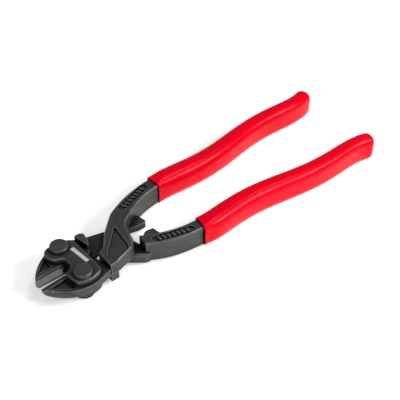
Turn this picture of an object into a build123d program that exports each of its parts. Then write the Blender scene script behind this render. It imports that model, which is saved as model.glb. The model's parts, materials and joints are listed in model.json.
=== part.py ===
"""Compact compound-action bolt cutters, 200 mm long, lying flat on their rivet heads.

+X runs from the jaws to the handle ends, +Y towards the upper handle, +Z up.
The origin is under the middle of the tool, at the height of the lower rivet heads.
The tool is the same above and below its middle plane, apart from the lap joint.
Heights in the names below are measured from that middle plane.
"""

import os
from math import cos, radians, sin

from build123d import *

# ---- driving dimensions, mm and degrees ----
MID_Z = 8.0  # height of the middle plane over the ground

JAW_HALF = 2.75  # half thickness of the jaw plates
BODY_HALF = 5.8  # half thickness of the forged levers
STRAP_INNER = 2.85  # strap plate, near face
STRAP_OUTER = 5.8  # strap plate, far face
HEAD_TOP = 8.0  # rivet head, far face
LAP_NECK = -0.35  # underside of the fixed lever's neck
LAP_TAIL = -0.45  # top of the moving jaw's tail
TONGUE_FLOOR = -2.85  # floor of the drive lever's tongue, under the tail
TONGUE_CHAMFER = 0.9  # on the tongue's free upper rim
STOP_TOP = -2.0  # top of the handle stops

STRAP_CORNER_R = 0.8

RIVET_X = -79.5
RIVET_Y = 10.3
RIVET_SHANK_R = 3.1
RIVET_HEAD_R = 4.65
RIVET_ROUND = 0.8

HANDLE_PIVOT = (-61.5, -6.0)
PIVOT_PIN_R = 2.2
PIVOT_HEAD_R = 3.4
PIVOT_HEAD_THICK = 1.3
PIVOT_PIN_TOP = 3.3
SPACER_R = 3.1
TONGUE_EYE_R = 4.6  # round end of the tongue, about the handle pivot
TONGUE_EYE_ROOM_R = 4.7  # hollow over it for the neck's and tail's ends

DRIVE_PIN = (-51.5, -4.9)
DRIVE_PIN_R = 1.5
DRIVE_BUSH_R = 2.3
DRIVE_EYE_R = 4.0
EYE_ROOM = 0.5
SLOT_TRAVEL = 0.4  # lost motion of the bush along the tail's slot, each way

RUNNING_FIT = 0.05
FACE_GAP = 0.1

HANDLE_CLOSE = 9.5  # swing from rest until the stops meet
STRAP_RATIO = 0.253  # strap turns by this much of the handle's swing
JAW_RATIO = 0.36  # moving jaw turns by this much of it
STOP_GAP = 1.0  # left between the handle stops when the edges meet
EDGE_GAP = 0.12  # between the cutting edges when closed

EDGE_TIP = (-98.5, -2.2)
EDGE_HEEL = (-79.9, -1.27)
EDGE_LAND = 0.12  # half of the narrow flat left on a cutting edge
EDGE_BEVEL = (0.8, 0.5)  # narrow bevel that carries the edge: width, half height
BEVEL_WIDTH = 3.45
BEVEL_HALF = 1.6  # half thickness left at the back of the wide bevel
BEVEL_STEP = 0.25  # run of the steep step up to the jaw's face
BEVEL_OVERRUN = 3.0  # how far the grinding runs out past the tip and the edge
THROAT = (-82.2, -1.0)
THROAT_R = 2.6
POCKET_DEPTH = 1.0
POCKET_CORNER_R = 0.5
JAW_CHAMFER = 1.2  # under the fixed jaw's outer wall
GROOVE_FLOOR = 1.45
GROOVE_ROOF = 2.1

LAP_REACH = 20.5  # clearance radius for the tongue, about the handle pivot
PANEL_DEPTH = 0.9
BADGE_DEPTH = 0.8
BADGE_SIZE = (22.5, 4.4)
BADGE_PLACE = (-30.5, 16.9)
BADGE_SLOPE = 17.0
BADGE_BARS = 7
BADGE_BAR = (1.1, 2.5)
BADGE_BAR_PITCH = 2.5
BADGE_BAR_LEAN = 20.0
EDGE_CHAMFER = 0.5
SMALL_CHAMFER = 0.3

TANG_HALF = 5.0  # half height of the tang in the grip
TANG_SIDE = 2.8  # half width of the tang in plan
TANG_ROOT = (-14, 19.4)
TANG_END = (87.6, 23.9)
GRIP_HEIGHT = 15.5
GRIP_LINE = [(-15.9, 19.4), (-2, 19.7), (17.5, 18.3), (37, 20.7), (60, 23.5), (82, 23.2), (98.5, 25.8)]
LOWER_SWING = -0.6  # degrees the lower grip's line stands further out, about its mouth
LOWER_REACH = 1.0  # and how much further its end reaches
GRIP_WIDTHS = [12.1, 11.8, 10.9, 10.0, 9.6, 9.8]  # plan widths at even steps from mouth to end
GRIP_CORNER = 0.44  # corner radius of the grip's section, of its width
GRIP_END_ROUND = 3.6
GRIP_MOUTH = (9.0, 13.2)  # the dipped sleeve thins to this width and height at its mouth
GRIP_MOUTH_CORNER = 1.5
GRIP_TAPER = 0.06  # share of the grip's length over which it thins
GRIP_MOUTH_ROUND = 0.3

os.makedirs("parts", exist_ok=True)


def turned(point, centre, degrees):
    """A plan point swung about a centre."""
    angle = radians(degrees)
    dx = point[0] - centre[0]
    dy = point[1] - centre[1]
    return (
        centre[0] + dx * cos(angle) - dy * sin(angle),
        centre[1] + dx * sin(angle) + dy * cos(angle),
    )


def handle_at_rest(closed_point):
    """Where a point of the drive lever stands at rest, from its place when closed."""
    return turned(closed_point, HANDLE_PIVOT, -HANDLE_CLOSE)


def jaw_at_rest(closed_point):
    """Where a point of the moving jaw stands at rest, from its place when closed."""
    rivet = (RIVET_X, RIVET_Y)
    closed_rivet = turned(rivet, (RIVET_X, -RIVET_Y), STRAP_RATIO * HANDLE_CLOSE)
    swung = turned(closed_point, closed_rivet, -JAW_RATIO * HANDLE_CLOSE)
    return (swung[0] + rivet[0] - closed_rivet[0], swung[1] + rivet[1] - closed_rivet[1])


def level(height):
    """A plan plane at a height over the middle plane."""
    return Plane.XY.offset(MID_Z + height)


def around(height):
    """A thin band of heights, for picking the edges that lie in it."""
    return height - RUNNING_FIT, height + RUNNING_FIT


def mirrored(points, side):
    return [(x, side * y) for x, y in points]


def save(part, name):
    part.label = name
    export_step(part, f"parts/{name}.step")


def cut_bevels(tip, heel, inward):
    """Grind both faces of a jaw down to its cutting edge; inward is +1 for a jaw above the edge."""
    start = Vector(*tip, MID_Z)
    along = (Vector(*heel, MID_Z) - start).normalized()
    across = Vector(-along.Y, along.X, 0) * inward
    length = (Vector(*THROAT, MID_Z) - start).dot(along)
    with BuildSketch(Plane(origin=start - along * BEVEL_OVERRUN, x_dir=across, z_dir=along)) as ground:
        for face in (1, -1):
            with BuildLine():
                Polyline(
                    (-BEVEL_OVERRUN, face * EDGE_LAND),
                    (0, face * EDGE_LAND),
                    (EDGE_BEVEL[0], face * EDGE_BEVEL[1]),
                    (BEVEL_WIDTH, face * BEVEL_HALF),
                    (BEVEL_WIDTH + BEVEL_STEP, face * JAW_HALF),
                    (BEVEL_WIDTH + BEVEL_STEP, face * BODY_HALF),
                    (-BEVEL_OVERRUN, face * BODY_HALF),
                    close=True,
                )
            make_face()
    extrude(ground.sketch, amount=length + BEVEL_OVERRUN, mode=Mode.SUBTRACT)


def cut_jaw_pockets(corners):
    """Sink a three-cornered pocket into both faces of a jaw."""
    with BuildSketch(level(JAW_HALF - POCKET_DEPTH), level(-JAW_HALF)) as pocket:
        with BuildLine():
            Polyline(*corners, close=True)
        make_face()
        fillet(pocket.vertices(), radius=POCKET_CORNER_R)
    extrude(pocket.sketch, amount=POCKET_DEPTH, mode=Mode.SUBTRACT)


def arm_outline(side, outer_start, inner):
    """Plan outline of a lever's bare arm; its inner side is given from the grip to the lap joint."""
    outer = mirrored([(-31.8, 20.3), (-21.8, 22.3), (-12, 22.9)], side)
    with BuildLine() as outline:
        Spline(outer_start, *outer)
        Line(outer[-1], inner[0])
        Spline(*inner)
        Line(inner[-1], outer_start)
    make_face(outline.edges())


def on_side(points, side):
    """Points of a grip's line, for the upper handle (+1) or the lower one (-1)."""
    if side > 0:
        return list(points)
    mouth = (GRIP_LINE[0][0], -GRIP_LINE[0][1])
    return [turned(point, mouth, LOWER_SWING) for point in mirrored(points, side)]


def tang_outline(side):
    """Plan outline of the tang inside the grip."""
    centre = on_side([TANG_ROOT, *GRIP_LINE[1:-1]], side)
    near = [(x, y - TANG_SIDE) for x, y in centre]
    far = [(x, y + TANG_SIDE) for x, y in centre]
    with BuildLine() as outline:
        Spline(*near)
        ThreePointArc(near[-1], on_side([TANG_END], side)[0], far[-1])
        Spline(*reversed(far))
        Line(far[0], near[0])
    make_face(outline.edges())


def cut_badges(side):
    """Long sunk panels on both faces of an arm, each with a row of plain raised bars."""
    middle = (BADGE_PLACE[0], side * BADGE_PLACE[1])
    for near, far in ((BODY_HALF - BADGE_DEPTH, BODY_HALF), (-BODY_HALF, BADGE_DEPTH - BODY_HALF)):
        with BuildSketch(level(near)) as badge:
            with Locations(Location((*middle, 0), side * BADGE_SLOPE)):
                SlotOverall(*BADGE_SIZE)
                with GridLocations(BADGE_BAR_PITCH, BADGE_BAR_PITCH, BADGE_BARS, 1):
                    Rectangle(*BADGE_BAR, rotation=BADGE_BAR_LEAN, mode=Mode.SUBTRACT)
        extrude(badge.sketch, amount=far - near, mode=Mode.SUBTRACT)


def add_stop(corners):
    """Low stop nub on the inner side of an arm."""
    with BuildSketch(level(-BODY_HALF)) as nub:
        with BuildLine():
            Polyline(*corners, close=True)
        make_face()
    extrude(nub.sketch, amount=BODY_HALF + STOP_TOP)


# ---- fixed jaw lever: lower jaw, front block, neck, upper arm and its tang ----
with BuildPart() as fixed_jaw_lever:
    arm_outer = (-46.8, 14.1)
    arm_inner = (-43.8, 5.0)
    with BuildSketch(level(-BODY_HALF)):
        arm_outline(1, arm_outer, [(-12, 15.7), (-20.5, 15.0), (-28.6, 13.1), (-36.8, 9.4), arm_inner])
    extrude(amount=2 * BODY_HALF)
    with BuildSketch(level(-TANG_HALF)):
        tang_outline(1)
    extrude(amount=2 * TANG_HALF)
    add_stop([(-44, 7.2), (-37.2, 5.3), (-36.4, 5.0), (-32.0, 5.0), (-31.1, 5.8), (-33, 14), (-40, 14)])

    # neck: the upper half of the lap joint, its free side and its front drafted
    far_side = [(-66.6, -4.6), (-61.9, -1.7), (-56.9, 4.8), (-51.9, 9.5), arm_outer, (-42, 13), arm_inner]
    foot = [(-44.4, 2.2), (-44.4, -1.6), (-46.1, -5.7), (-48.5, -9.5), (-51.2, -12.0), (-56.6, -13.7)]
    crown = [(-45.6, 2.8), (-46.8, -1.5), (-48.4, -6.0), (-50.4, -10.2), (-52.6, -11.5), (-57.5, -12.9)]
    with BuildSketch(level(LAP_NECK)):
        with BuildLine():
            Polyline(*far_side, *foot, (-61.9, -15.2), (-66.6, -15.2), close=True)
        make_face()
    with BuildSketch(level(BODY_HALF)):
        with BuildLine():
            Polyline(*far_side, *crown, (-62.6, -14.3), (-66.6, -14.6), close=True)
        make_face()
    loft(ruled=True)
    chamfer(faces().sort_by(Axis.Z)[-1].edges(), length=EDGE_CHAMFER)

    # room for the tongue and the jaw's tail under the neck
    with BuildSketch(level(-BODY_HALF)):
        with Locations(HANDLE_PIVOT):
            Circle(LAP_REACH)
    extrude(amount=BODY_HALF + LAP_NECK, mode=Mode.SUBTRACT)

    # front block, full height
    with BuildSketch(level(-BODY_HALF)):
        with BuildLine():
            Polyline((-66.6, -14.6), (-62.1, -14.4), (-61.7, -12.4), (-62.4, -11.3), (-66.6, -11.3))
            Line((-66.6, -11.3), (-66.6, -14.6))
        make_face()
    extrude(amount=2 * BODY_HALF)

    # jaw plate
    with BuildSketch(level(-JAW_HALF)):
        with BuildLine():
            Line(EDGE_HEEL, EDGE_TIP)
            Line(EDGE_TIP, (-98.6, -4.2))
            ThreePointArc((-98.6, -4.2), (-94.3, -10.4), (-88.3, -15.0))
            ThreePointArc((-88.3, -15.0), (-80.0, -17.1), (-72.5, -16.1))
            Polyline((-72.5, -16.1), (-66.6, -14.6), (-66.6, -11.3), (-67.4, -9), (-67.6, -4.6))
            Polyline((-67.6, -4.6), (-73, -2.6), (-79.9, -2.4), EDGE_HEEL)
        make_face()
    extrude(amount=2 * JAW_HALF)
    under = edges().filter_by(GeomType.CIRCLE).filter_by_position(Axis.Z, *around(MID_Z - JAW_HALF))
    chamfer(under.filter_by_position(Axis.X, -100, -72), length=JAW_CHAMFER)
    cut_bevels(EDGE_TIP, EDGE_HEEL, -1)
    cut_jaw_pockets([(-96.0, -6.8), (-87.2, -6.0), (-86.0, -14.6)])

    # groove below the rim of the outer wall
    with BuildSketch(level(GROOVE_FLOOR)):
        with BuildLine():
            ThreePointArc((-96.2, -9.9), (-93.1, -12.6), (-89.0, -15.6))
            Line((-89.0, -15.6), (-88.5, -14.3))
            ThreePointArc((-88.5, -14.3), (-93.8, -9.9), (-95.2, -8.3))
            Line((-95.2, -8.3), (-96.2, -9.9))
        make_face()
    extrude(amount=GROOVE_ROOF - GROOVE_FLOOR, mode=Mode.SUBTRACT)

    # bores
    with BuildSketch(level(-BODY_HALF)):
        with Locations(THROAT):
            Circle(THROAT_R)
        with Locations((RIVET_X, -RIVET_Y)):
            Circle(RIVET_SHANK_R + RUNNING_FIT)
    extrude(amount=2 * BODY_HALF, mode=Mode.SUBTRACT)
    with BuildSketch(level(LAP_NECK)):
        with Locations(HANDLE_PIVOT):
            Circle(PIVOT_PIN_R)
    extrude(amount=PIVOT_PIN_TOP - LAP_NECK, mode=Mode.SUBTRACT)

    # sunk panel on the neck
    with BuildSketch(level(BODY_HALF - PANEL_DEPTH)):
        with BuildLine():
            Polyline((-50.9, 5.0), (-50.2, 4.2), (-52.0, -8.2), (-53.2, -10.9), (-62.8, -13.7))
            Polyline((-62.8, -13.7), (-64.2, -13.0), (-64.1, -8.6), (-63.3, -7.2), (-50.9, 5.0))
        make_face()
    extrude(amount=PANEL_DEPTH, mode=Mode.SUBTRACT)
    cut_badges(1)

# ---- moving jaw: upper jaw, rear block, tail with the drive slot ----
with BuildPart() as moving_jaw:
    jaw_tip = jaw_at_rest((EDGE_TIP[0], EDGE_TIP[1] + EDGE_GAP))
    jaw_heel = jaw_at_rest((EDGE_HEEL[0], EDGE_HEEL[1] + EDGE_GAP))
    with BuildSketch(level(-JAW_HALF)):
        with BuildLine():
            Line(jaw_heel, jaw_tip)
            Line(jaw_tip, (-98.8, 1.9))
            ThreePointArc((-98.8, 1.9), (-93.8, 8.2), (-87.1, 12.9))
            ThreePointArc((-87.1, 12.9), (-79.3, 16.0), (-71.5, 14.7))
            Polyline((-71.5, 14.7), (-69.3, 12.8), (-66.4, 12.7), (-64.6, 11.6), (-65.1, 8.0), (-66.6, 3.6))
            Polyline((-66.6, 3.6), (-68.2, 1.2), (-79.6, 0.7), jaw_heel)
        make_face()
    extrude(amount=2 * JAW_HALF)
    cut_bevels(jaw_tip, jaw_heel, 1)
    cut_jaw_pockets([(-95.6, 5.2), (-88.3, 4.5), (-87.5, 11.5)])

    # rear block, full height
    with BuildSketch(level(-BODY_HALF)):
        with BuildLine():
            Polyline((-69.3, 12.4), (-68.6, 12.9), (-66.4, 12.7), (-64.6, 11.6), (-65.1, 8.0))
            Polyline((-65.1, 8.0), (-66.6, 3.6), (-67.7, 3.8), (-69.3, 12.4))
        make_face()
    extrude(amount=2 * BODY_HALF)
    chamfer(faces().sort_by(Axis.Z)[-1].edges(), length=SMALL_CHAMFER)

    # tail: hooks round the handle pivot to the drive pin
    with BuildSketch(level(-JAW_HALF)):
        with BuildLine():
            Polyline((-66.4, 12.7), (-62.4, 13.5), (-53.6, 11.2), (-50.2, 6.5))
            Line((-50.2, 6.5), (DRIVE_PIN[0] + DRIVE_EYE_R, DRIVE_PIN[1]))
            ThreePointArc(
                (DRIVE_PIN[0] + DRIVE_EYE_R, DRIVE_PIN[1]),
                (DRIVE_PIN[0], DRIVE_PIN[1] - DRIVE_EYE_R),
                (DRIVE_PIN[0] - DRIVE_EYE_R, DRIVE_PIN[1]),
            )
            Line((DRIVE_PIN[0] - DRIVE_EYE_R, DRIVE_PIN[1]), (-57.4, -2.2))
            ThreePointArc((-57.4, -2.2), (-58.4, 0.5), (-61.1, 1.6))
            Polyline((-61.1, 1.6), (-64.8, 0.4), (-66.2, -0.1), (-68.4, -0.1), (-69.0, 3.6))
            Polyline((-69.0, 3.6), (-68.5, 8.0), (-66.4, 12.7))
        make_face()
    extrude(amount=JAW_HALF + LAP_TAIL)
    with BuildSketch(level(-BODY_HALF)):
        with Locations(DRIVE_PIN):
            SlotCenterToCenter(2 * SLOT_TRAVEL, 2 * (DRIVE_BUSH_R + RUNNING_FIT))
        with Locations(THROAT):
            Circle(THROAT_R)
        with Locations((RIVET_X, RIVET_Y)):
            Circle(RIVET_SHANK_R + RUNNING_FIT)
    extrude(amount=2 * BODY_HALF, mode=Mode.SUBTRACT)

# ---- drive lever: tongue, lower arm and its tang ----
with BuildPart() as drive_lever:
    face_outer = (-45.2, -13.9)
    face_inner = (-44.2, -7.0)
    with BuildSketch(level(-BODY_HALF)):
        arm_outline(-1, face_outer, [(-12, -15.7), (-21.8, -15.3), (-31.8, -12.8), face_inner])
    extrude(amount=2 * BODY_HALF)
    chamfer(faces().sort_by(Axis.Z)[-1].edges(), length=EDGE_CHAMFER)
    with BuildSketch(level(-TANG_HALF)):
        tang_outline(-1)
    extrude(amount=2 * TANG_HALF)
    stop_left = handle_at_rest((-36.8, 5.0 - STOP_GAP))
    stop_right = handle_at_rest((-32.6, 5.0 - STOP_GAP))
    stop_root = [(-30.9, -5.0), (-30.5, -14.5), (-40, -14.5), (-40, -4.6), (-37.6, -1.3)]
    add_stop([stop_left, stop_right, *stop_root])

    # tongue: the lower half of the lap joint
    with BuildSketch(level(-BODY_HALF)):
        with BuildLine():
            Polyline(face_inner, (-45.5, -2.2), (-48.5, -0.6), (-58.5, -2.6), (-58.5, -9.0), (-53.2, -9.6))
            Polyline((-53.2, -9.6), (-46.3, -15.1), (-44.5, -15.3), (-40, -14), (-40, -8), face_inner)
        make_face()
        with Locations(HANDLE_PIVOT):
            Circle(TONGUE_EYE_R)
    extrude(amount=BODY_HALF + LAP_NECK - FACE_GAP)
    lap_edges = edges().filter_by_position(Axis.Z, *around(LAP_NECK - FACE_GAP + MID_Z))
    free_rim = lap_edges.filter_by_position(Axis.X, -51, -48).filter_by_position(Axis.Y, -13, -11)
    chamfer(free_rim, length=TONGUE_CHAMFER)

    # room for the jaw's tail over the tongue's floor
    with BuildSketch(level(TONGUE_FLOOR)):
        with Locations(DRIVE_PIN):
            Circle(DRIVE_EYE_R + EYE_ROOM)
        with BuildLine():
            Polyline((-68, -9.4), (-53, -9.4), (DRIVE_PIN[0] - DRIVE_EYE_R, DRIVE_PIN[1]), DRIVE_PIN)
            Polyline(DRIVE_PIN, (-47.2, DRIVE_PIN[1]), (-46.2, 2), (-68, 2), (-68, -9.4))
        make_face()
        with Locations(HANDLE_PIVOT):
            Circle(TONGUE_EYE_ROOM_R)
    extrude(amount=-TONGUE_FLOOR, mode=Mode.SUBTRACT)

    # bores
    with BuildSketch(level(-BODY_HALF)):
        with Locations(DRIVE_PIN):
            Circle(DRIVE_PIN_R)
        with Locations(HANDLE_PIVOT):
            Circle(PIVOT_PIN_R + RUNNING_FIT)
    extrude(amount=BODY_HALF, mode=Mode.SUBTRACT)
    with BuildSketch(level(-BODY_HALF)):
        with Locations(HANDLE_PIVOT):
            Circle(PIVOT_HEAD_R + RUNNING_FIT)
    extrude(amount=PIVOT_HEAD_THICK + FACE_GAP, mode=Mode.SUBTRACT)
    cut_badges(-1)

# ---- straps: one plate above the jaws, one below ----
def strap_outline():
    with BuildLine() as outline:
        ThreePointArc((-87.6, 8.6), (-86.7, 12.5), (-82.6, 14.3))
        ThreePointArc((-82.6, 14.3), (-77.3, 14.9), (-72.3, 11.4))
        Polyline((-72.3, 11.4), (-70.9, 8.5), (-70.9, -12.6), (-72.0, -14.2))
        ThreePointArc((-72.0, -14.2), (-78.6, -15.8), (-85.2, -13.9))
        Polyline((-85.2, -13.9), (-86.6, -5.8), (-82.3, -3.6))
        ThreePointArc((-82.3, -3.6), (-81.1, 0.0), (-82.4, 3.6))
        ThreePointArc((-82.4, 3.6), (-85.8, 5.2), (-87.6, 8.6))
    make_face(outline.edges())
    fillet(outline.vertices(), radius=STRAP_CORNER_R)
    with Locations((RIVET_X, RIVET_Y), (RIVET_X, -RIVET_Y)):
        Circle(RIVET_SHANK_R, mode=Mode.SUBTRACT)


with BuildPart() as top_strap:
    with BuildSketch(level(STRAP_INNER)):
        strap_outline()
    extrude(amount=STRAP_OUTER - STRAP_INNER)
    outer_face = faces().sort_by(Axis.Z)[-1]
    chamfer(outer_face.outer_wire().edges(), length=EDGE_CHAMFER)

with BuildPart() as bottom_strap:
    add(top_strap.part.mirror(level(0)))


# ---- rivets and pins ----
def rivet(centre_y):
    """Stepped rivet with a flat round head above and below."""
    with BuildPart() as body:
        with BuildSketch(level(-STRAP_OUTER)):
            with Locations((RIVET_X, centre_y)):
                Circle(RIVET_SHANK_R)
        extrude(amount=2 * STRAP_OUTER)
        for underside in (STRAP_OUTER, -HEAD_TOP):
            with BuildSketch(level(underside)):
                with Locations((RIVET_X, centre_y)):
                    Circle(RIVET_HEAD_R)
            extrude(amount=HEAD_TOP - STRAP_OUTER)
        rims = edges().filter_by(GeomType.CIRCLE).sort_by(Axis.Z)
        fillet([rims[0], rims[-1]], radius=RIVET_ROUND)
    return body.part


fixed_jaw_rivet = rivet(-RIVET_Y)
moving_jaw_rivet = rivet(RIVET_Y)

with BuildPart() as handle_pivot_pin:
    with BuildSketch(level(-BODY_HALF + FACE_GAP)):
        with Locations(HANDLE_PIVOT):
            Circle(PIVOT_HEAD_R)
    extrude(amount=PIVOT_HEAD_THICK - FACE_GAP)
    with BuildSketch(level(-BODY_HALF + FACE_GAP)):
        with Locations(HANDLE_PIVOT):
            Circle(PIVOT_PIN_R)
    extrude(amount=BODY_HALF - FACE_GAP + PIVOT_PIN_TOP)
    chamfer(edges().filter_by(GeomType.CIRCLE).sort_by(Axis.Z)[-1], length=SMALL_CHAMFER)

with BuildPart() as pivot_spacer:
    with BuildSketch(level(TONGUE_FLOOR + FACE_GAP / 2)):
        with Locations(HANDLE_PIVOT):
            Circle(SPACER_R)
            Circle(PIVOT_PIN_R, mode=Mode.SUBTRACT)
    extrude(amount=LAP_NECK - TONGUE_FLOOR - FACE_GAP / 2)

with BuildPart() as drive_pin:
    with BuildSketch(level(-BODY_HALF + FACE_GAP)):
        with Locations(DRIVE_PIN):
            Circle(DRIVE_PIN_R)
    extrude(amount=BODY_HALF - FACE_GAP + LAP_TAIL)

with BuildPart() as drive_bush:
    with BuildSketch(level(TONGUE_FLOOR)):
        with Locations(DRIVE_PIN):
            Circle(DRIVE_BUSH_R)
            Circle(DRIVE_PIN_R, mode=Mode.SUBTRACT)
    extrude(amount=LAP_TAIL - TONGUE_FLOOR)


# ---- grips: dipped sleeves over the tangs ----
def grip(side, lever):
    """Closed-end sleeve, with the lever's own shape as its bore."""
    line = on_side(GRIP_LINE, side)
    reach = LOWER_REACH if side < 0 else 0
    line[-1] = (line[-1][0] + reach, line[-1][1])
    path = Spline(*[Vector(x, y, MID_Z) for x, y in line])

    def section_plane(place):
        heading = path.tangent_at(place)
        across = Vector(heading.Y, -heading.X, 0)
        return Plane(origin=path.position_at(place), x_dir=across, z_dir=heading)

    with BuildPart() as sleeve:
        for step, width in enumerate(GRIP_WIDTHS):
            place = GRIP_TAPER + (1 - GRIP_TAPER) * step / (len(GRIP_WIDTHS) - 1)
            with BuildSketch(section_plane(place)):
                RectangleRounded(width, GRIP_HEIGHT, GRIP_CORNER * width)
        loft()
        fillet(faces().sort_by(Axis.X)[-1].edges(), radius=GRIP_END_ROUND)
        with BuildSketch(section_plane(0)):
            RectangleRounded(*GRIP_MOUTH, GRIP_MOUTH_CORNER)
        with BuildSketch(section_plane(GRIP_TAPER)):
            RectangleRounded(GRIP_WIDTHS[0], GRIP_HEIGHT, GRIP_CORNER * GRIP_WIDTHS[0])
        loft()
        fillet(faces().sort_by(Axis.X)[0].edges(), radius=GRIP_MOUTH_ROUND)
        add(lever, mode=Mode.SUBTRACT)
    return sleeve.part


upper_grip = grip(1, fixed_jaw_lever.part)
lower_grip = grip(-1, drive_lever.part)

save(fixed_jaw_lever.part, "fixed_jaw_lever")
save(moving_jaw.part, "moving_jaw")
save(drive_lever.part, "drive_lever")
save(top_strap.part, "top_strap")
save(bottom_strap.part, "bottom_strap")
save(fixed_jaw_rivet, "fixed_jaw_rivet")
save(moving_jaw_rivet, "moving_jaw_rivet")
save(handle_pivot_pin.part, "handle_pivot_pin")
save(pivot_spacer.part, "pivot_spacer")
save(drive_pin.part, "drive_pin")
save(drive_bush.part, "drive_bush")
save(upper_grip, "upper_grip")
save(lower_grip, "lower_grip")
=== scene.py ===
"""Looks of the compact bolt cutters: eased forgings, dipped grips, their materials, light and camera.

Lengths are in metres, in the part's own frame: +X from the jaws to the handle ends, +Z up.
"""

import json
from math import cos, pi, radians, sin

import bmesh
import bpy
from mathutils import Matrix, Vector
from mathutils.bvhtree import BVHTree

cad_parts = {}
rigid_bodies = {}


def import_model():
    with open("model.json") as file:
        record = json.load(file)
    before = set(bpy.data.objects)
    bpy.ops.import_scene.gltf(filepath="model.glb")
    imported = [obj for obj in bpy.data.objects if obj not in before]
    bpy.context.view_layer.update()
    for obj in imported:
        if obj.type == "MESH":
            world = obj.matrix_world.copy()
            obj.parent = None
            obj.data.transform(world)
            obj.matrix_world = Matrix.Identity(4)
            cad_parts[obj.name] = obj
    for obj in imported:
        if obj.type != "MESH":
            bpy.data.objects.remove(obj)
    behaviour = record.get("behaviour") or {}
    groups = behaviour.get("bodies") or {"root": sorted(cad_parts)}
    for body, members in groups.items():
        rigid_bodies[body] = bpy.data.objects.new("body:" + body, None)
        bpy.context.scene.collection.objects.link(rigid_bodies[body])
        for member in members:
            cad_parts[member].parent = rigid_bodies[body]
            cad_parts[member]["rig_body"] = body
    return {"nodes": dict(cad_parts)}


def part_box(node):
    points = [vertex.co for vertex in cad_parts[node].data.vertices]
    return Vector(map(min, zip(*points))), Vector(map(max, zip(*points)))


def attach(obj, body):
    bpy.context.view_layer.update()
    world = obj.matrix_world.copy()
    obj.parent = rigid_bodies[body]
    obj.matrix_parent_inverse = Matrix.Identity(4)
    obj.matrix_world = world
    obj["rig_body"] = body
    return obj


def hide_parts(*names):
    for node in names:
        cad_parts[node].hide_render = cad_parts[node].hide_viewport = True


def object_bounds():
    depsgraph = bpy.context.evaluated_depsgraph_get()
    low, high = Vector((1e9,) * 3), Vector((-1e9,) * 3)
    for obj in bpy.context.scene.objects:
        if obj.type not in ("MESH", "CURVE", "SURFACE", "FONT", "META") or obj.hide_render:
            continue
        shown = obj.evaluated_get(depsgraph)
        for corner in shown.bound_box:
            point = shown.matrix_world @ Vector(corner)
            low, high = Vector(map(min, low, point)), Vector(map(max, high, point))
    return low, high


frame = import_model()
cad_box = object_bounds()
MM = 0.001

# ---- the tool ----
MID_Z = (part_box("top_strap")[1].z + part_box("bottom_strap")[0].z) / 2  # middle plane of the tool
LAND_HALF = 0.15 * MM  # a cutting edge's land lies this close to the middle plane
EDGE_ZONE = 3 * MM  # both cutting edges lie this close to the tool's centre line
EDGE_SHORTEST = 10 * MM  # a cutting edge's heel is at least this far behind its tip

# ---- steel: shape of its edges, wear with painted edge highlights, and painted crevice shade ----
SMOOTH_ANGLE = radians(28)  # edges that turn less than this are shaded smooth
WELD = 0.002 * MM
CORNER_ROUND = 0.22 * MM  # rounding seen on the steel pieces' edges
FLAT_FACE, HIGHLIT_WORN_EDGE = 0.995, 0.90  # cosines between a face's normal and the eased one
EDGE_WEAR_AND_HIGHLIGHT = 0.55 * MM  # how far the bright wear and painted edge highlight reach in from a forging's edge
RIM_WEAR_AND_HIGHLIGHT = 0.9 * MM  # the same on a rivet's head
CREVICE_REACH = 6.0 * MM  # how far the painted shade reaches out of a crevice
PARTING_LINE = 0.5 * MM  # half width of the forgings' trimmed flash line
GROUND_WIDTH = 3.45 * MM  # ground band along a cutting edge
GROUND_FADE = 0.1 * MM
GROUND_OVERRUN = 0.5 * MM  # how far the band runs on past the edge's heel

FORGING_DARK, FORGING_LIGHT = (0.036, 0.036, 0.037), (0.052, 0.051, 0.051)
# bright edge colour of the forgings: partly wear, partly painted highlight
WORN_STEEL_AND_HIGHLIGHT = (0.36, 0.355, 0.35)
# bright rim colour of the rivets: partly rubbing, partly painted highlight
RUBBED_STEEL_AND_HIGHLIGHT = (0.26, 0.255, 0.25)
# near-black colour of the painted shade in crevices
PAINTED_SHADE = (0.001, 0.001, 0.001)

# ---- pale bar printed across the top strap's rear ----
BAR_SETBACK = 3.2 * MM  # from the strap's rearmost point
BAR_OFFSET = 0.9 * MM  # from the strap's middle
BAR_TURN = radians(-6)
BAR_LENGTH_HALF = 6.0 * MM
BAR_WIDTH_HALF = 1.0 * MM
BAR_FADE = 0.12 * MM
BAR_SKIN = 0.2 * MM  # the print stays this close to the strap's top
BAR_COLOUR = (0.50, 0.50, 0.49)

# ---- grips ----
GRIP_SIDES = 64
GRIP_STATIONS = 64
GRIP_CAP_STEPS = 14
GRIP_MOUTH_ROWS = slice(7, 20)  # rings of the skin that are smoothed: behind the mouth,
GRIP_CAP_ROWS = slice(-GRIP_CAP_STEPS - 4, None)  # and over the end
GRIP_SMOOTHINGS = 4
GRIP_FIRST = 1.8 * MM  # from the mouth's lowest corner to the first ring of the barrel
GRIP_CAP_REACH = 7.4 * MM
GRIP_LIP = 0.3 * MM
GRIP_LIP_BEND = 0.7  # how far out the lip's middle ring stands, as a part of the lip
GRIP_BORE = (3.0 * MM, 0.25 * MM)  # depths of the bore's two rings in the mouth
GRIP_CLEARANCE = 0.1 * MM  # between the sleeve's bore and the steel
GRIP_RED, GRIP_PALE_RED = (0.66, 0.0, 0.009), (0.74, 0.0, 0.016)
# painted shade: the grip's red darkens to this where other surfaces lie close
GRIP_PAINTED_SHADE = (0.10, 0.0, 0.003)
GRIP_SHEEN = (1.0, 0.30, 0.36)

RAY_START = 50 * MM  # rays that find a sleeve's or a lever's skin start this far out
RAY_LEAD = 20 * MM  # and this far in front of a sleeve's mouth
RAY_OFFSET = 0.01 * MM  # and off the middle plane, where some solids have a seam

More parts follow.
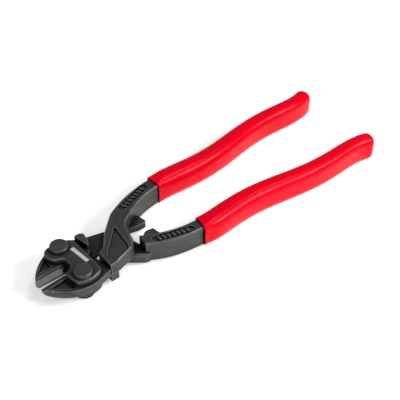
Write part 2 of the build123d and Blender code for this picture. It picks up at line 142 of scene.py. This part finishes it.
# ---- floor, light and camera ----
FLOOR_HALF = 3.0
FLOOR_GLOW = 0.42  # light table under the tool
STUDIO_LIGHT = 0.18
SOFTBOXES = {  # direction from the tool, distance, size, power
    "key": ((0.50, -0.66, 0.62), 0.9, (0.40, 0.30), 6.6),
    "fill": ((-0.75, -0.50, 0.75), 1.0, (0.6, 0.5), 3.0),
    "top": ((0.35, -0.15, 1.0), 1.1, (0.5, 0.3), 3.0),
}
CAMERA_TARGET = Vector((-1.5 * MM, -1.67 * MM, MID_Z))
CAMERA_AZIMUTH = radians(-39.17)
CAMERA_ELEVATION = radians(43.35)
CAMERA_DISTANCE = 0.5155
CAMERA_LENS = 90.0
CAMERA_SENSOR = 36.0

# ---- nodes ----
NOISE_LOW, NOISE_HIGH = 0.3, 0.7  # where most of a noise's values lie
NOISE_ROUGHNESS = 0.55
BEVEL_SAMPLES = 6
SHADE_SAMPLES = 8


class Nodes:
    """A material's node tree, with short ways to add and join nodes."""

    def __init__(self, name, eased=False):
        self.eased = eased
        self.material = bpy.data.materials.new(name)
        self.material.use_nodes = True
        self.tree = self.material.node_tree
        self.shader = self.tree.nodes["Principled BSDF"]
        self.place = self.add("ShaderNodeTexCoord").outputs["Object"]

    def add(self, kind, **settings):
        node = self.tree.nodes.new(kind)
        for key, value in settings.items():
            setattr(node, key, value)
        return node

    def feed(self, socket, value):
        """Give a socket a number, a colour or another node's output."""
        if isinstance(value, (int, float)):
            socket.default_value = value
        elif isinstance(value, tuple):
            socket.default_value = (*value, 1)
        else:
            self.tree.links.new(value, socket)

    def set(self, **sockets):
        """Feed the shader's own sockets."""
        for name, value in sockets.items():
            self.feed(self.shader.inputs[name.replace("_", " ")], value)

    def noise(self, size, detail=4.0, stretch=(1, 1, 1)):
        """Noise with features of about the given size; stretch draws them out along an axis."""
        mapping = self.add("ShaderNodeMapping")
        mapping.inputs["Scale"].default_value = [1 / s for s in stretch]
        self.feed(mapping.inputs["Vector"], self.place)
        node = self.add("ShaderNodeTexNoise")
        node.inputs["Scale"].default_value = 1 / size
        node.inputs["Detail"].default_value = detail
        node.inputs["Roughness"].default_value = NOISE_ROUGHNESS
        self.feed(node.inputs["Vector"], mapping.outputs["Vector"])
        return node.outputs["Fac"]

    def ramp(self, value, dark, light):
        """Colour or grey between two, over the noise's range."""
        node = self.add("ShaderNodeValToRGB")
        for element, place, colour in zip(node.color_ramp.elements, (NOISE_LOW, NOISE_HIGH), (dark, light)):
            element.position = place
            element.color = (*colour, 1) if isinstance(colour, tuple) else (colour, colour, colour, 1)
        self.feed(node.inputs["Fac"], value)
        return node.outputs["Color"]

    def mottled(self, size, dark, light, detail=4.0):
        """Colour or grey that wanders between two."""
        return self.ramp(self.noise(size, detail), dark, light)

    def uneven(self, size, low, high):
        """Number that wanders between two."""
        return self.span(self.noise(size), NOISE_LOW, NOISE_HIGH, low, high)

    def span(self, value, low, high, to_low=0.0, to_high=1.0):
        node = self.add("ShaderNodeMapRange")
        ends = {"From Min": low, "From Max": high, "To Min": to_low, "To Max": to_high}
        for socket, number in ends.items():
            node.inputs[socket].default_value = number
        self.feed(node.inputs["Value"], value)
        return node.outputs["Result"]

    def math(self, operation, *values):
        node = self.add("ShaderNodeMath", operation=operation)
        for socket, value in zip(node.inputs, values):
            self.feed(socket, value)
        return node.outputs["Value"]

    def product(self, first, *others):
        for other in others:
            first = self.math("MULTIPLY", first, other)
        return first

    def mix(self, factor, first, second, kind="RGBA"):
        """Mix of two colours, or of two numbers with kind FLOAT."""
        node = self.add("ShaderNodeMix", data_type=kind)
        for socket, value in (("Factor", factor), ("A", first), ("B", second)):
            self.feed(node.inputs[socket], value)
        return node.outputs["Result"]

    def along(self, direction, start):
        """Distance of the surface point from a start point, along a direction."""
        shift = self.add("ShaderNodeVectorMath", operation="SUBTRACT")
        shift.inputs[1].default_value = start
        self.feed(shift.inputs[0], self.place)
        dot = self.add("ShaderNodeVectorMath", operation="DOT_PRODUCT")
        dot.inputs[1].default_value = direction
        self.feed(dot.inputs[0], shift.outputs["Vector"])
        return dot.outputs["Value"]

    def away(self, direction, start):
        """The same distance, counted up to both sides."""
        return self.math("ABSOLUTE", self.along(direction, start))

    def eased_normal(self, radius):
        """The surface normal with edges rounded to a radius."""
        bevel = self.add("ShaderNodeBevel", samples=BEVEL_SAMPLES)
        bevel.inputs["Radius"].default_value = radius
        return bevel.outputs["Normal"]

    def edges_worn_and_highlit(self, reach):
        """Mask of wear and painted edge highlight: 1 on edges, falling to 0 on faces within the reach."""
        dot = self.add("ShaderNodeVectorMath", operation="DOT_PRODUCT")
        self.feed(dot.inputs[0], self.eased_normal(reach))
        self.feed(dot.inputs[1], self.add("ShaderNodeNewGeometry").outputs["Normal"])
        return self.span(dot.outputs["Value"], FLAT_FACE, HIGHLIT_WORN_EDGE)

    def openness(self):
        """1 on open faces, falling to 0 deep in crevices."""
        node = self.add("ShaderNodeAmbientOcclusion", samples=SHADE_SAMPLES)
        node.inputs["Distance"].default_value = CREVICE_REACH
        return node.outputs["AO"]

    def bump(self, *layers):
        """Stacked bumps, each (height, depth in metres); the last one feeds the shader."""
        normal = self.eased_normal(CORNER_ROUND) if self.eased else None
        for height, depth in layers:
            node = self.add("ShaderNodeBump")
            node.inputs["Distance"].default_value = depth
            self.feed(node.inputs["Height"], height)
            if normal is not None:
                self.feed(node.inputs["Normal"], normal)
            normal = node.outputs["Normal"]
        self.set(Normal=normal)


# ---- materials ----
def painted_crevice_shade(nodes, colour, open_face):
    """Painted shade: a colour gone black in crevices, and the reflectance that fades there with it."""
    dark = nodes.mix(nodes.span(open_face, 0.42, 0.94), PAINTED_SHADE, colour)
    return dark, nodes.span(open_face, 0.45, 0.94, 0.01, 0.5)


def forged_surface(nodes, parting):
    """Satin black forging finish: colour, roughness, reflectance and bump layers."""
    colour = nodes.mottled(7 * MM, FORGING_DARK, FORGING_LIGHT, detail=5)
    open_face = nodes.openness()
    patches = nodes.span(nodes.noise(2.2 * MM), 0.22, 0.55)
    # edges brightened, partly by wear and partly as painted highlight, kept off the crevices
    wear_and_highlight = nodes.product(nodes.edges_worn_and_highlit(EDGE_WEAR_AND_HIGHLIGHT), patches, nodes.span(open_face, 0.58, 0.86), 0.85)
    # painted shade blackens the crevices and dims their reflectance
    colour, shine = painted_crevice_shade(nodes, nodes.mix(wear_and_highlight, colour, WORN_STEEL_AND_HIGHLIGHT), open_face)
    roughness = nodes.uneven(3 * MM, 0.38, 0.54)
    bumps = [(nodes.noise(4.5 * MM, detail=2), 0.10 * MM), (nodes.noise(0.6 * MM, detail=3), 0.05 * MM)]
    if parting:
        height = nodes.away((0, 0, 1), (0, 0, MID_Z))
        bumps.append((nodes.span(height, PARTING_LINE, PARTING_LINE / 4), 0.16 * MM))
    return colour, roughness, shine, bumps


def forged_steel():
    nodes = Nodes("forged_black_steel", eased=True)
    colour, roughness, shine, bumps = forged_surface(nodes, parting=True)
    nodes.set(Base_Color=colour, Roughness=roughness, Metallic=0.3, Specular_IOR_Level=shine)
    nodes.bump(*bumps)
    return nodes.material


def jaw_steel(name, node, inward):
    """Forging finish with a ground band along the cutting edge; inward is +1 for a jaw above its edge."""
    tip, heel = cutting_edge(node)
    along = (heel - tip).normalized()
    across = Vector((-along.y, along.x, 0)) * inward
    nodes = Nodes(name, eased=True)
    colour, roughness, shine, bumps = forged_surface(nodes, parting=True)
    in_width = nodes.span(nodes.along(across, tip), GROUND_WIDTH + GROUND_FADE, GROUND_WIDTH - GROUND_FADE)
    in_length = nodes.math("LESS_THAN", nodes.along(along, tip), (heel - tip).length + GROUND_OVERRUN)
    ground = nodes.product(in_width, in_length)
    scratches = nodes.noise(0.16 * MM, detail=2, stretch=(1.0, 9.0, 9.0))
    colour = nodes.mix(nodes.product(ground, 0.6), colour, nodes.ramp(scratches, 0.07, 0.11))
    roughness = nodes.mix(ground, roughness, 0.34, kind="FLOAT")
    nodes.set(Base_Color=colour, Roughness=roughness, Metallic=0.3, Specular_IOR_Level=shine)
    nodes.bump(*bumps, (nodes.product(scratches, ground), 0.02 * MM))
    return nodes.material


def strap_steel():
    """Forging finish with a plain pale bar printed across the strap's rear."""
    nodes = Nodes("strap_steel", eased=True)
    colour, roughness, shine, bumps = forged_surface(nodes, parting=False)
    low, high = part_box("top_strap")
    centre = Vector((high.x - BAR_SETBACK, (low.y + high.y) / 2 + BAR_OFFSET, 0))
    lengthwise = nodes.away((sin(BAR_TURN), cos(BAR_TURN), 0), centre)
    sideways = nodes.away((cos(BAR_TURN), -sin(BAR_TURN), 0), centre)
    height = nodes.along((0, 0, 1), (0, 0, high.z - BAR_SKIN))
    printed = nodes.product(
        nodes.span(lengthwise, BAR_LENGTH_HALF + BAR_FADE, BAR_LENGTH_HALF - BAR_FADE),
        nodes.span(sideways, BAR_WIDTH_HALF + BAR_FADE, BAR_WIDTH_HALF - BAR_FADE),
        nodes.math("GREATER_THAN", height, 0.0),
    )
    rubbed = nodes.span(nodes.noise(0.5 * MM), 0.30, 0.42, 0.35, 1.0)
    colour = nodes.mix(nodes.product(printed, rubbed), colour, BAR_COLOUR)
    metal = nodes.mix(printed, 0.3, 0.0, kind="FLOAT")
    nodes.set(Base_Color=colour, Roughness=roughness, Metallic=metal, Specular_IOR_Level=shine)
    nodes.bump(*bumps)
    return nodes.material


def rivet_steel():
    """Black rivet heads, their rims lightened by rubbing and a painted highlight, with painted shade in
    crevices.
    """
    nodes = Nodes("rivet_steel", eased=True)
    # rims brightened, partly by rubbing and partly as painted highlight
    wear_and_highlight = nodes.product(nodes.edges_worn_and_highlit(RIM_WEAR_AND_HIGHLIGHT), 0.6)
    colour = nodes.mix(wear_and_highlight, nodes.mottled(4 * MM, 0.052, 0.074), RUBBED_STEEL_AND_HIGHLIGHT)
    # painted shade in the crevices round the heads
    colour, shine = painted_crevice_shade(nodes, colour, nodes.openness())
    roughness = nodes.uneven(1.5 * MM, 0.32, 0.44)
    nodes.set(Base_Color=colour, Roughness=roughness, Metallic=0.4, Specular_IOR_Level=shine)
    nodes.bump((nodes.noise(3 * MM, detail=2), 0.05 * MM), (nodes.noise(0.3 * MM, detail=2), 0.012 * MM))
    return nodes.material


def bare_steel():
    nodes = Nodes("bare_steel")
    colour = nodes.mottled(2 * MM, 0.34, 0.46)
    nodes.set(Base_Color=colour, Roughness=nodes.uneven(0.8 * MM, 0.24, 0.36), Metallic=1.0)
    nodes.bump((nodes.noise(0.12 * MM, detail=2, stretch=(1, 1, 8)), 0.006 * MM))
    return nodes.material


def grip_plastic():
    """Glossy red dipped vinyl with a soft flow and a faint skin texture."""
    nodes = Nodes("grip_plastic")
    colour = nodes.mottled(14 * MM, GRIP_RED, GRIP_PALE_RED, detail=3)
    # painted shade: the red darkens where other surfaces lie close, such as at the mouth
    colour = nodes.mix(nodes.span(nodes.openness(), 0.1, 0.7), GRIP_PAINTED_SHADE, colour)
    roughness = nodes.uneven(2.5 * MM, 0.17, 0.25)
    nodes.set(Base_Color=colour, Roughness=roughness, Specular_IOR_Level=0.18, Specular_Tint=GRIP_SHEEN)
    flow = nodes.noise(9 * MM, detail=2, stretch=(3.0, 1.0, 1.0))
    nodes.bump((flow, 0.10 * MM), (nodes.noise(0.8 * MM, detail=2), 0.005 * MM))
    return nodes.material


def floor_material():
    nodes = Nodes("pale_floor")
    nodes.set(Base_Color=nodes.mottled(40 * MM, 0.80, 0.84), Roughness=0.9,
              Emission_Color=(1.0, 1.0, 1.0), Emission_Strength=FLOOR_GLOW)
    return nodes.material


# ---- geometry helpers ----
def cutting_edge(node):
    """The two ends of a jaw's cutting edge, tip first: its thin land in front of the rivets."""
    low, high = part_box("fixed_jaw_rivet")
    rivet_x = (low.x + high.x) / 2
    land = [v.co for v in frame["nodes"][node].data.vertices
            if abs(v.co.z - MID_Z) < LAND_HALF and v.co.x < rivet_x]
    # the foremost point, and of two as far forward the one nearer the centre line
    tip = min(land, key=lambda co: co.x + abs(co.y) / 100)
    near_edge = [co for co in land if abs(co.y) < EDGE_ZONE and co.x > tip.x + EDGE_SHORTEST]
    heel = max(near_edge, key=lambda co: co.x)
    return Vector((tip.x, tip.y, MID_Z)), Vector((heel.x, heel.y, MID_Z))


def finish_piece(piece, body, slot, *replaced):
    bpy.context.scene.collection.objects.link(piece)
    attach(piece, body)
    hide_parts(*replaced)


def shade_smooth(mesh):
    """Smooth shading, broken at sharp edges."""
    mesh.shade_smooth()
    work = bmesh.new()
    work.from_mesh(mesh)
    for edge in work.edges:
        edge.smooth = len(edge.link_faces) == 2 and edge.calc_face_angle(0) < SMOOTH_ANGLE
    work.to_mesh(mesh)
    work.free()


def smooth_copy(node, material, slot="forged_black_steel"):
    """The node's own solid with its curved faces shaded smooth, as a visible piece that stands for it."""
    source = frame["nodes"][node]
    mesh = bpy.data.meshes.new(f"{node}_surface")
    work = bmesh.new()
    work.from_mesh(source.data)
    bmesh.ops.remove_doubles(work, verts=work.verts, dist=WELD)
    work.to_mesh(mesh)
    work.free()
    mesh.materials.clear()
    mesh.materials.append(material)
    shade_smooth(mesh)
    piece = bpy.data.objects.new(f"{node}_surface", mesh)
    finish_piece(piece, source["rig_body"], slot, node)


class Skin:
    """A node's outer surface, sampled by rays."""

    def __init__(self, node):
        mesh = frame["nodes"][node].data
        self.tree = BVHTree.FromPolygons([v.co for v in mesh.vertices], [p.vertices for p in mesh.polygons])
        self.low, self.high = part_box(node)

    def hit(self, start, direction):
        return self.tree.ray_cast(start, direction)[0]

    def toward(self, centre, direction):
        """Where the surface lies, out from a centre in a direction."""
        return self.hit(centre + direction * RAY_START, -direction)

    def centre(self, x):
        """Middle of the section at a place along X."""
        z = MID_Z + RAY_OFFSET
        low = self.hit(Vector((x, self.low.y - RAY_START, z)), Vector((0, 1, 0)))
        high = self.hit(Vector((x, self.high.y + RAY_START, z)), Vector((0, -1, 0)))
        return Vector((x, (low.y + high.y) / 2, MID_Z))


def round_about(heading, lean):
    """Directions round a heading, leaning towards it by an angle."""
    sideways = Vector((-heading.y, heading.x, 0))
    upward = Vector((0, 0, 1))
    turns = [2 * pi * (step + 0.5) / GRIP_SIDES for step in range(GRIP_SIDES)]
    return [heading * sin(lean) + (sideways * cos(turn) + upward * sin(turn)) * cos(lean) for turn in turns]


def loft(rings, name, material):
    """A closed skin through rings of points, with a fan over each end."""
    work = bmesh.new()
    rows = [[work.verts.new(co) for co in ring] for ring in rings]
    for first, second in zip(rows, rows[1:]):
        for i in range(len(first)):
            j = (i + 1) % len(first)
            work.faces.new((first[i], first[j], second[j], second[i]))
    for row in (rows[0], rows[-1]):
        hub = work.verts.new(sum((v.co for v in row), Vector()) / len(row))
        for i in range(len(row)):
            work.faces.new((row[i], row[(i + 1) % len(row)], hub))
    soft = [v for row in rows[GRIP_MOUTH_ROWS] + rows[GRIP_CAP_ROWS] for v in row]
    for _ in range(GRIP_SMOOTHINGS):
        bmesh.ops.smooth_vert(work, verts=soft, factor=0.5, use_axis_x=True, use_axis_y=True,
                              use_axis_z=True)
    bmesh.ops.recalc_face_normals(work, faces=work.faces)
    mesh = bpy.data.meshes.new(name)
    work.to_mesh(mesh)
    work.free()
    mesh.materials.append(material)
    mesh.shade_smooth()
    return bpy.data.objects.new(name, mesh)


def mouth_rings(skin, steel, centre, heading, edge):
    """Rings of a sleeve's mouth: up its bore beside the steel, across its face and round its lip."""
    outward = round_about(heading, 0.0)
    face = []
    for point, out in zip(edge, outward):
        face.append(skin.hit(point - out * GRIP_LIP - heading * RAY_LEAD, heading))
    bore = []
    for depth in GRIP_BORE:
        ring = []
        for point, out in zip(face, outward):
            middle = centre + heading * ((point - centre).dot(heading) + depth)
            ring.append(steel.toward(middle, out) + out * GRIP_CLEARANCE)
        bore.append(ring)
    lip = [
        [point + out * GRIP_LIP * rise + heading * GRIP_LIP * back for point, out in zip(face, outward)]
        for rise, back in ((GRIP_LIP_BEND, 1 - GRIP_LIP_BEND), (1, 1))
    ]
    return [*bore, face, *lip]


def dipped_grip(node, lever, material):
    """Sleeve with a rounded lip at its mouth, a bore that follows the lever, and a rounded end."""
    skin = Skin(node)
    first = skin.low.x + GRIP_FIRST
    last = skin.high.x - GRIP_CAP_REACH
    places = [first + (last - first) * step / GRIP_STATIONS for step in range(GRIP_STATIONS + 1)]
    centres = [skin.centre(x) for x in places]
    headings = [(b - a).normalized() for a, b in zip(centres, centres[1:])]
    headings.append(headings[-1])

    barrel = []
    for centre, heading in zip(centres, headings):
        barrel.append([skin.toward(centre, direction) for direction in round_about(heading, 0.0)])
    mouth = mouth_rings(skin, Skin(lever), centres[0], headings[0], barrel[0])
    cap = []
    for step in range(1, GRIP_CAP_STEPS + 1):
        lean = pi / 2 * step / (GRIP_CAP_STEPS + 0.5)  # the last ring stops short of the fan's hub
        cap.append([skin.toward(centres[-1], direction) for direction in round_about(headings[-1], lean)])

    piece = loft([*mouth, *barrel, *cap], f"{node}_dipped", material)
    finish_piece(piece, frame["nodes"][node]["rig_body"], "grip_plastic", node)


# ---- the pieces ----
forged = forged_steel()
rivets = rivet_steel()
bare = bare_steel()
vinyl = grip_plastic()
smooth_copy("fixed_jaw_lever", jaw_steel("fixed_jaw_steel", "fixed_jaw_lever", -1))
smooth_copy("moving_jaw", jaw_steel("moving_jaw_steel", "moving_jaw", 1))
smooth_copy("drive_lever", forged)
smooth_copy("top_strap", strap_steel())
smooth_copy("bottom_strap", forged)
for name in ("fixed_jaw_rivet", "moving_jaw_rivet"):
    smooth_copy(name, rivets, "rivet_steel")
dipped_grip("upper_grip", "fixed_jaw_lever", vinyl)
dipped_grip("lower_grip", "drive_lever", vinyl)
for name in ("handle_pivot_pin", "pivot_spacer", "drive_pin", "drive_bush"):
    materials = frame["nodes"][name].data.materials
    materials.clear()
    materials.append(bare)


# ---- stage, light and camera ----
def aim(thing, direction, distance, target):
    """Place a light or camera off a target, in a direction, facing it."""
    thing.location = target + direction.normalized() * distance
    thing.rotation_mode = "QUATERNION"
    thing.rotation_quaternion = (-direction).to_track_quat("-Z", "Y")


def make_floor():
    z = cad_box[0].z
    mesh = bpy.data.meshes.new("floor")
    corners = [(x * FLOOR_HALF, y * FLOOR_HALF, z) for x, y in ((-1, -1), (1, -1), (1, 1), (-1, 1))]
    mesh.from_pydata(corners, [], [(0, 1, 2, 3)])
    mesh.materials.append(floor_material())
    floor = bpy.data.objects.new("floor", mesh)
    bpy.context.scene.collection.objects.link(floor)


def make_lights():
    low, high = cad_box
    for name, (direction, distance, size, power) in SOFTBOXES.items():
        data = bpy.data.lights.new(name, "AREA")
        data.shape = "RECTANGLE"
        data.size, data.size_y = size
        data.energy = power
        lamp = bpy.data.objects.new(name, data)
        bpy.context.scene.collection.objects.link(lamp)
        aim(lamp, Vector(direction), distance, (low + high) / 2)
    world = bpy.data.worlds.new("studio")
    world.use_nodes = True
    background = world.node_tree.nodes["Background"]
    background.inputs["Color"].default_value = (1, 1, 1, 1)
    background.inputs["Strength"].default_value = STUDIO_LIGHT
    bpy.context.scene.world = world
    bpy.context.scene.view_settings.view_transform = "Standard"


def make_camera():
    data = bpy.data.cameras.new("camera")
    data.lens = CAMERA_LENS
    data.sensor_width = CAMERA_SENSOR
    camera = bpy.data.objects.new("camera", data)
    bpy.context.scene.collection.objects.link(camera)
    level = cos(CAMERA_ELEVATION)
    back = Vector((sin(CAMERA_AZIMUTH) * level, -cos(CAMERA_AZIMUTH) * level, sin(CAMERA_ELEVATION)))
    aim(camera, back, CAMERA_DISTANCE, CAMERA_TARGET)
    bpy.context.scene.camera = camera


make_floor()
make_lights()
make_camera()
